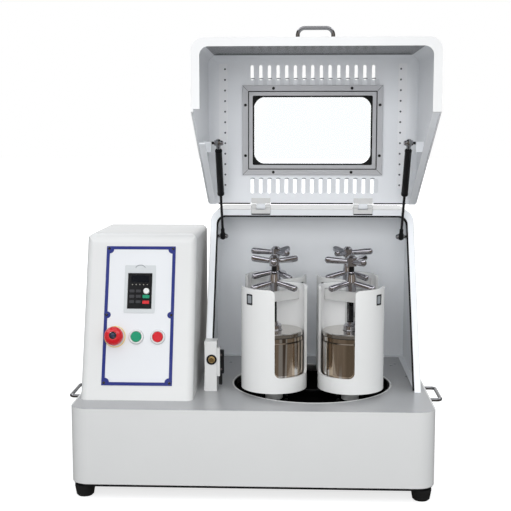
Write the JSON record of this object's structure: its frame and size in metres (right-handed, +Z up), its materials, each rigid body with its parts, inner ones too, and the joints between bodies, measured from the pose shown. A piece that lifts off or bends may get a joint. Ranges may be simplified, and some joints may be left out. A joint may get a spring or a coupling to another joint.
{
  "type": "planetary ball mill",
  "caption": "Bench planetary ball mill: slotted pot holders on a turntable under a hinged, windowed hood with gas struts, beside a leaning control box.",
  "frame": {"origin": "the point on the table midway between the four rubber feet", "axes": "+X to the right as the operator stands in front, +Y to the rear, +Z up; the hood is drawn open, as it stands at rest"},
  "size_m": [0.8136, 0.542, 0.958],
  "materials": {
    "white_enamel": "satin",
    "black_paint": "satin",
    "black_rubber": "matte",
    "dark_bar": "satin",
    "frame_steel": "satin",
    "motor_paint": "satin",
    "pulley_aluminium": "satin",
    "gear_steel": "satin",
    "bright_chrome": "polished",
    "jar_steel": "polished",
    "clear_pane": "clear",
    "brass": "polished",
    "keypad_black": "matte",
    "knob_white": "gloss",
    "signal_red": "gloss",
    "signal_green": "gloss"
  },
  "bodies": {
    "base": {"base_housing": "white_enamel", "base_pan": "black_paint", "rubber_feet": "black_rubber", "side_handles": "dark_bar", "drive_frame": "frame_steel", "drive_motor": "motor_paint", "drive_belt": "black_rubber", "main_bearing": "frame_steel", "sun_gear": "gear_steel", "chamber_shell": "white_enamel", "lock_housing": "white_enamel", "control_box": "white_enamel", "keypad": "keypad_black", "lid_hinges": "white_enamel"},
    "hood": {"lid_shell": "white_enamel", "window_frame": "pulley_aluminium", "window_pane": "clear_pane", "lid_handle": "bright_chrome"},
    "strut_rod_pair": {"strut_rods": "bright_chrome"},
    "strut_cylinder_pair": {"strut_cylinders": "black_paint"},
    "motor_shaft": {"motor_pulley": "pulley_aluminium"},
    "turn": {"turntable": "black_paint", "driven_pulley": "pulley_aluminium"},
    "knob": {"speed_knob": "knob_white"},
    "estop": {"emergency_stop": "signal_red"},
    "start": {"start_button": "signal_green"},
    "stop": {"stop_button": "signal_red"},
    "plunger": {"lock_plunger": "brass"},
    "planet_front_left": {"pot_holder_front_left": "white_enamel", "planet_gear_front_left": "gear_steel", "milling_jar_front_left": "jar_steel", "jar_lid_front_left": "jar_steel", "clamp_bar_front_left": "jar_steel"},
    "pad_front_left": {"pressure_pad_front_left": "bright_chrome"},
    "screw_front_left": {"clamp_screw_front_left": "bright_chrome"},
    "nut_front_left": {"lock_star_front_left": "bright_chrome"},
    "planet_front_right": {"pot_holder_front_right": "white_enamel", "planet_gear_front_right": "gear_steel", "milling_jar_front_right": "jar_steel", "jar_lid_front_right": "jar_steel", "clamp_bar_front_right": "jar_steel"},
    "pad_front_right": {"pressure_pad_front_right": "bright_chrome"},
    "screw_front_right": {"clamp_screw_front_right": "bright_chrome"},
    "nut_front_right": {"lock_star_front_right": "bright_chrome"},
    "planet_rear_right": {"pot_holder_rear_right": "white_enamel", "planet_gear_rear_right": "gear_steel", "milling_jar_rear_right": "jar_steel", "jar_lid_rear_right": "jar_steel", "clamp_bar_rear_right": "jar_steel"},
    "pad_rear_right": {"pressure_pad_rear_right": "bright_chrome"},
    "screw_rear_right": {"clamp_screw_rear_right": "bright_chrome"},
    "nut_rear_right": {"lock_star_rear_right": "bright_chrome"},
    "planet_rear_left": {"pot_holder_rear_left": "white_enamel", "planet_gear_rear_left": "gear_steel", "milling_jar_rear_left": "jar_steel", "jar_lid_rear_left": "jar_steel", "clamp_bar_rear_left": "jar_steel"},
    "pad_rear_left": {"pressure_pad_rear_left": "bright_chrome"},
    "screw_rear_left": {"clamp_screw_rear_left": "bright_chrome"},
    "nut_rear_left": {"lock_star_rear_left": "bright_chrome"}
  },
  "joints": [
    {"name": "hood_hinge", "type": "hinge", "parent": "base", "child": "hood", "pos_m": [0.125, 0.104, 0.578], "axis": [1, 0, 0], "range_deg": [0, 90]},
    {"name": "strut_swing", "type": "hinge", "parent": "base", "child": "strut_rod_pair", "pos_m": [0.125, 0.099, 0.509], "axis": [1, 0, 0], "range_deg": [0, 83.81]},
    {"name": "strut_stroke", "type": "slide", "parent": "strut_rod_pair", "child": "strut_cylinder_pair", "axis": [0, 0.5122, -0.8589], "range_m": [0, 0.09541]},
    {"name": "turntable_spin", "type": "hinge", "parent": "base", "child": "turn", "pos_m": [0.125, -0.02, 0.175], "axis": [0, 0, 1], "continuous": true},
    {"name": "motor_spin", "type": "hinge", "parent": "base", "child": "motor_shaft", "pos_m": [-0.246, -0.02, 0.039], "axis": [0, 0, 1], "continuous": true},
    {"name": "planet_spin_front_left", "type": "hinge", "parent": "turn", "child": "planet_front_left", "pos_m": [0.04227, -0.10273, 0.133], "axis": [0, 0, 1], "continuous": true},
    {"name": "pad_lift_front_left", "type": "slide", "parent": "planet_front_left", "child": "pad_front_left", "axis": [0, 0, 1], "range_m": [0, 0.009]},
    {"name": "screw_turn_front_left", "type": "hinge", "parent": "pad_front_left", "child": "screw_front_left", "pos_m": [0.04227, -0.10273, 0.423], "axis": [0, 0, 1], "range_deg": [0, 1080]},
    {"name": "nut_turn_front_left", "type": "hinge", "parent": "planet_front_left", "child": "nut_front_left", "pos_m": [0.04227, -0.10273, 0.411], "axis": [0, 0, 1], "range_deg": [0, 90]},
    {"name": "planet_spin_front_right", "type": "hinge", "parent": "turn", "child": "planet_front_right", "pos_m": [0.20773, -0.10273, 0.133], "axis": [0, 0, 1], "continuous": true},
    {"name": "pad_lift_front_right", "type": "slide", "parent": "planet_front_right", "child": "pad_front_right", "axis": [0, 0, 1], "range_m": [0, 0.009]},
    {"name": "screw_turn_front_right", "type": "hinge", "parent": "pad_front_right", "child": "screw_front_right", "pos_m": [0.20773, -0.10273, 0.423], "axis": [0, 0, 1], "range_deg": [0, 1080]},
    {"name": "nut_turn_front_right", "type": "hinge", "parent": "planet_front_right", "child": "nut_front_right", "pos_m": [0.20773, -0.10273, 0.411], "axis": [0, 0, 1], "range_deg": [0, 90]},
    {"name": "planet_spin_rear_right", "type": "hinge", "parent": "turn", "child": "planet_rear_right", "pos_m": [0.20773, 0.06273, 0.133], "axis": [0, 0, 1], "continuous": true},
    {"name": "pad_lift_rear_right", "type": "slide", "parent": "planet_rear_right", "child": "pad_rear_right", "axis": [0, 0, 1], "range_m": [0, 0.009]},
    {"name": "screw_turn_rear_right", "type": "hinge", "parent": "pad_rear_right", "child": "screw_rear_right", "pos_m": [0.20773, 0.06273, 0.423], "axis": [0, 0, 1], "range_deg": [0, 1080]},
    {"name": "nut_turn_rear_right", "type": "hinge", "parent": "planet_rear_right", "child": "nut_rear_right", "pos_m": [0.20773, 0.06273, 0.411], "axis": [0, 0, 1], "range_deg": [0, 90]},
    {"name": "planet_spin_rear_left", "type": "hinge", "parent": "turn", "child": "planet_rear_left", "pos_m": [0.04227, 0.06273, 0.133], "axis": [0, 0, 1], "continuous": true},
    {"name": "pad_lift_rear_left", "type": "slide", "parent": "planet_rear_left", "child": "pad_rear_left", "axis": [0, 0, 1], "range_m": [0, 0.009]},
    {"name": "screw_turn_rear_left", "type": "hinge", "parent": "pad_rear_left", "child": "screw_rear_left", "pos_m": [0.04227, 0.06273, 0.423], "axis": [0, 0, 1], "range_deg": [0, 1080]},
    {"name": "nut_turn_rear_left", "type": "hinge", "parent": "planet_rear_left", "child": "nut_rear_left", "pos_m": [0.04227, 0.06273, 0.411], "axis": [0, 0, 1], "range_deg": [0, 90]},
    {"name": "speed_knob_turn", "type": "hinge", "parent": "base", "child": "knob", "pos_m": [-0.231, -0.12031, 0.41064], "axis": [0, -0.9511, 0.309], "range_deg": [-270, 0]},
    {"name": "emergency_stop_press", "type": "slide", "parent": "base", "child": "estop", "axis": [0, 0.9511, -0.309], "range_m": [0, 0.006], "stiffness_N_per_m": 900, "springref_m": -0.001},
    {"name": "start_press", "type": "slide", "parent": "base", "child": "start", "axis": [0, 0.9511, -0.309], "range_m": [0, 0.003], "stiffness_N_per_m": 600, "springref_m": -0.001},
    {"name": "stop_press", "type": "slide", "parent": "base", "child": "stop", "axis": [0, 0.9511, -0.309], "range_m": [0, 0.003], "stiffness_N_per_m": 600, "springref_m": -0.001},
    {"name": "lock_plunger_press", "type": "slide", "parent": "base", "child": "plunger", "axis": [0, 1, 0], "range_m": [0, 0.004], "stiffness_N_per_m": 500, "springref_m": -0.001}
  ],
  "couplings": [
    {"joint": "strut_swing", "follows": "hood_hinge", "ratio": 0.93127},
    {"joint": "strut_stroke", "follows": "hood_hinge", "m_per_rad": 0.060743},
    {"joint": "motor_spin", "follows": "turntable_spin", "ratio": 2.25},
    {"joint": "planet_spin_front_left", "follows": "turntable_spin", "ratio": 2},
    {"joint": "pad_lift_front_left", "follows": "screw_turn_front_left", "m_per_rad": 0.00047746},
    {"joint": "planet_spin_front_right", "follows": "turntable_spin", "ratio": 2},
    {"joint": "pad_lift_front_right", "follows": "screw_turn_front_right", "m_per_rad": 0.00047746},
    {"joint": "planet_spin_rear_right", "follows": "turntable_spin", "ratio": 2},
    {"joint": "pad_lift_rear_right", "follows": "screw_turn_rear_right", "m_per_rad": 0.00047746},
    {"joint": "planet_spin_rear_left", "follows": "turntable_spin", "ratio": 2},
    {"joint": "pad_lift_rear_left", "follows": "screw_turn_rear_left", "m_per_rad": 0.00047746}
  ]
}
